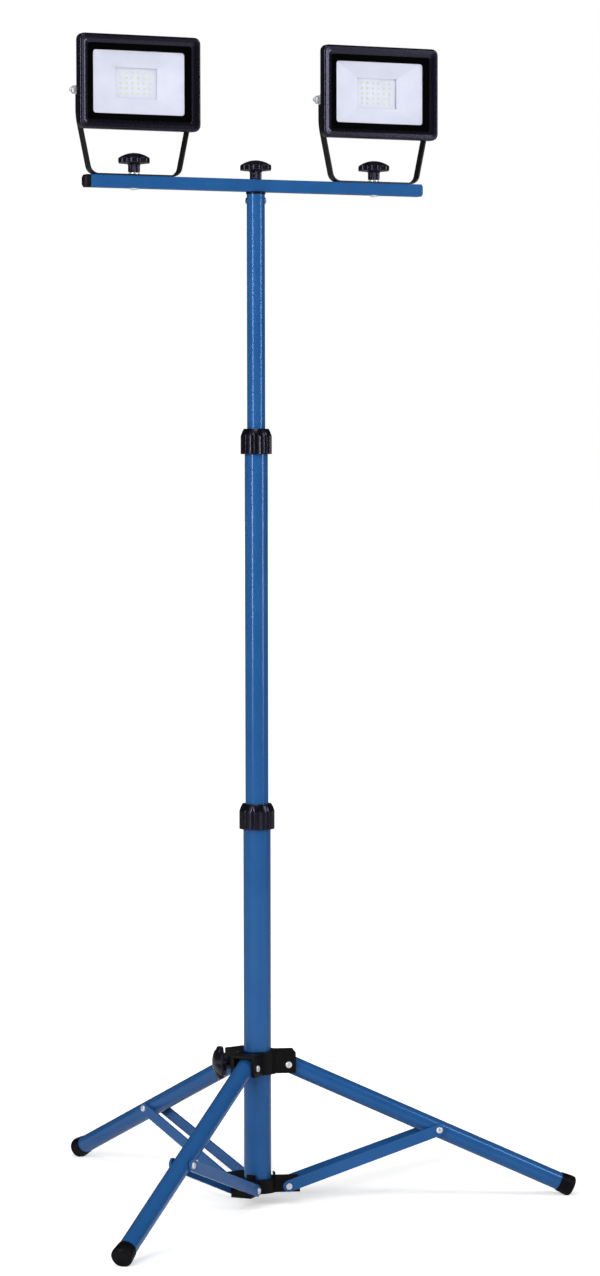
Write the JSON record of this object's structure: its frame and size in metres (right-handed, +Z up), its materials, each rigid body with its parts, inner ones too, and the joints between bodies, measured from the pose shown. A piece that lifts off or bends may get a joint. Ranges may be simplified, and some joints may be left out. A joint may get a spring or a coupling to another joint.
{
  "type": "work light",
  "caption": "Work light: slim LED floodlights on tilting U-brackets on a crossbar, clamped on a telescopic mast with twist locks over a folding tripod.",
  "frame": {"origin": "where the mast axis meets the floor", "axes": "+Z up along the mast, X along the crossbar at rest with +X to the right of a person who faces the lamps, -Y the way the lamps face"},
  "size_m": [0.7708, 0.7481, 1.605],
  "materials": {
    "blue_paint": "satin blue powder coat on steel tube and strip",
    "black_plastic": "moulded black nylon, fine satin grain",
    "black_steel": "black powder coat on bent steel strip",
    "black_cast": "black powder coat on die-cast aluminium",
    "zinc_steel": "bright zinc plate",
    "foot_rubber": "matt black rubber",
    "clear_glass": "clear toughened glass",
    "seal_rubber": "black silicone",
    "white_reflector": "satin white",
    "board_white": "white solder mask",
    "chip_yellow": "pale yellow phosphor"
  },
  "bodies": {
    "mast_base": {"base_tube": "blue_paint", "lower_hub": "black_plastic", "hub_pivot_screws": "zinc_steel", "lower_lock_bush": "black_plastic"},
    "lower_lock": {"lower_lock_collar": "black_plastic"},
    "middle_mast": {"middle_tube": "blue_paint", "middle_tube_guide": "black_plastic", "upper_lock_bush": "black_plastic"},
    "upper_lock": {"upper_lock_collar": "black_plastic"},
    "top_mast": {"top_tube": "blue_paint", "top_tube_guide": "black_plastic", "top_plug": "black_plastic", "plug_rivet": "zinc_steel", "top_stud": "zinc_steel"},
    "top_knob": {"top_knob": "black_plastic"},
    "crossbar": {"crossbar": "blue_paint", "left_end_cap": "black_plastic", "right_end_cap": "blue_paint", "lamp_bolts": "zinc_steel"},
    "leg_collar": {"leg_collar": "black_plastic", "leg_pivot_screws": "zinc_steel"},
    "clamp_knob": {"clamp_knob": "black_plastic", "clamp_screw": "zinc_steel"},
    "right_leg": {"right_leg": "blue_paint", "right_foot": "foot_rubber"},
    "right_stays": {"right_stays": "blue_paint", "right_stay_screws": "zinc_steel"},
    "back_leg": {"back_leg": "blue_paint", "back_foot": "foot_rubber"},
    "back_stays": {"back_stays": "blue_paint", "back_stay_screws": "zinc_steel"},
    "front_leg": {"front_leg": "blue_paint", "front_foot": "foot_rubber"},
    "front_stays": {"front_stays": "blue_paint", "front_stay_screws": "zinc_steel"},
    "left_bracket": {"left_bracket": "black_steel"},
    "left_lamp_knob": {"left_lamp_knob": "black_plastic"},
    "left_lamp": {"left_housing": "black_cast", "left_tilt_bolts": "zinc_steel", "left_front_frame": "black_cast", "left_glass": "clear_glass", "left_gasket": "seal_rubber", "left_reflector": "white_reflector", "left_led_board": "board_white", "left_led_chips": "chip_yellow", "left_driver_box": "black_plastic", "left_cable_gland": "black_plastic"},
    "right_bracket": {"right_bracket": "black_steel"},
    "right_lamp_knob": {"right_lamp_knob": "black_plastic"},
    "right_lamp": {"right_housing": "black_cast", "right_tilt_bolts": "zinc_steel", "right_front_frame": "black_cast", "right_glass": "clear_glass", "right_gasket": "seal_rubber", "right_reflector": "white_reflector", "right_led_board": "board_white", "right_led_chips": "chip_yellow", "right_driver_box": "black_plastic", "right_cable_gland": "black_plastic"}
  },
  "joints": [
    {"name": "collar_slide", "type": "slide", "parent": "mast_base", "child": "leg_collar", "axis": [0, 0, 1], "range_m": [0, 0.2853]},
    {"name": "right_leg_fold", "type": "hinge", "parent": "leg_collar", "child": "right_leg", "pos_m": [0.03956, -0.01308, 0.19589], "axis": [0.314, 0.9494, 0], "range_deg": [0, 60.5]},
    {"name": "right_stay_fold", "type": "hinge", "parent": "mast_base", "child": "right_stays", "pos_m": [0.03956, -0.01308, 0.026], "axis": [0.314, 0.9494, 0], "range_deg": [-65.91, 0]},
    {"name": "back_leg_fold", "type": "hinge", "parent": "leg_collar", "child": "back_leg", "pos_m": [-0.00845, 0.0408, 0.19589], "axis": [-0.9792, -0.2028, 0], "range_deg": [0, 60.5]},
    {"name": "back_stay_fold", "type": "hinge", "parent": "mast_base", "child": "back_stays", "pos_m": [-0.00845, 0.0408, 0.026], "axis": [-0.9792, -0.2028, 0], "range_deg": [-65.91, 0]},
    {"name": "front_leg_fold", "type": "hinge", "parent": "leg_collar", "child": "front_leg", "pos_m": [-0.03111, -0.02772, 0.19589], "axis": [0.6652, -0.7466, 0], "range_deg": [0, 60.5]},
    {"name": "front_stay_fold", "type": "hinge", "parent": "mast_base", "child": "front_stays", "pos_m": [-0.03111, -0.02772, 0.026], "axis": [0.6652, -0.7466, 0], "range_deg": [-65.91, 0]},
    {"name": "middle_slide", "type": "slide", "parent": "mast_base", "child": "middle_mast", "axis": [0, 0, 1], "range_m": [-0.46, 0]},
    {"name": "top_slide", "type": "slide", "parent": "middle_mast", "child": "top_mast", "axis": [0, 0, 1], "range_m": [-0.3, 0]},
    {"name": "lower_lock_turn", "type": "hinge", "parent": "mast_base", "child": "lower_lock", "pos_m": [0, 0, 0.546], "axis": [0, 0, 1], "range_deg": [0, 90]},
    {"name": "upper_lock_turn", "type": "hinge", "parent": "middle_mast", "child": "upper_lock", "pos_m": [0, 0, 1.064], "axis": [0, 0, 1], "range_deg": [0, 90]},
    {"name": "bar_swivel", "type": "hinge", "parent": "top_mast", "child": "crossbar", "pos_m": [0, 0, 1.4095], "axis": [0, 0, 1], "range_deg": [-180, 180]},
    {"name": "top_knob_turn", "type": "hinge", "parent": "top_mast", "child": "top_knob", "pos_m": [0, 0, 1.418], "axis": [0, 0, 1], "range_deg": [0, 360]},
    {"name": "clamp_knob_turn", "type": "hinge", "parent": "leg_collar", "child": "clamp_knob", "pos_m": [-0.0373, 0.00544, 0.19989], "axis": [-0.9895, 0.1444, 0], "range_deg": [0, 360]},
    {"name": "left_knob_turn", "type": "hinge", "parent": "crossbar", "child": "left_lamp_knob", "pos_m": [-0.1815, 0, 1.418], "axis": [0, 0, 1], "range_deg": [0, 360]},
    {"name": "left_pan", "type": "hinge", "parent": "crossbar", "child": "left_bracket", "pos_m": [-0.1815, 0, 1.418], "axis": [0, 0, 1], "range_deg": [-180, 180]},
    {"name": "left_tilt", "type": "hinge", "parent": "left_bracket", "child": "left_lamp", "pos_m": [-0.1815, 0, 1.5305], "axis": [-1, 0, 0], "range_deg": [-4, 90]},
    {"name": "right_knob_turn", "type": "hinge", "parent": "crossbar", "child": "right_lamp_knob", "pos_m": [0.1815, 0, 1.418], "axis": [0, 0, 1], "range_deg": [0, 360]},
    {"name": "right_pan", "type": "hinge", "parent": "crossbar", "child": "right_bracket", "pos_m": [0.1815, 0, 1.418], "axis": [0, 0, 1], "range_deg": [-180, 180]},
    {"name": "right_tilt", "type": "hinge", "parent": "right_bracket", "child": "right_lamp", "pos_m": [0.1815, 0, 1.5305], "axis": [-1, 0, 0], "range_deg": [-4, 90]}
  ],
  "couplings": [
    {"joint": "right_leg_fold", "follows": "collar_slide", "rad_per_m": 3.6944},
    {"joint": "right_stay_fold", "follows": "collar_slide", "rad_per_m": -4.0254},
    {"joint": "back_leg_fold", "follows": "collar_slide", "rad_per_m": 3.6944},
    {"joint": "back_stay_fold", "follows": "collar_slide", "rad_per_m": -4.0254},
    {"joint": "front_leg_fold", "follows": "collar_slide", "rad_per_m": 3.6944},
    {"joint": "front_stay_fold", "follows": "collar_slide", "rad_per_m": -4.0254}
  ]
}
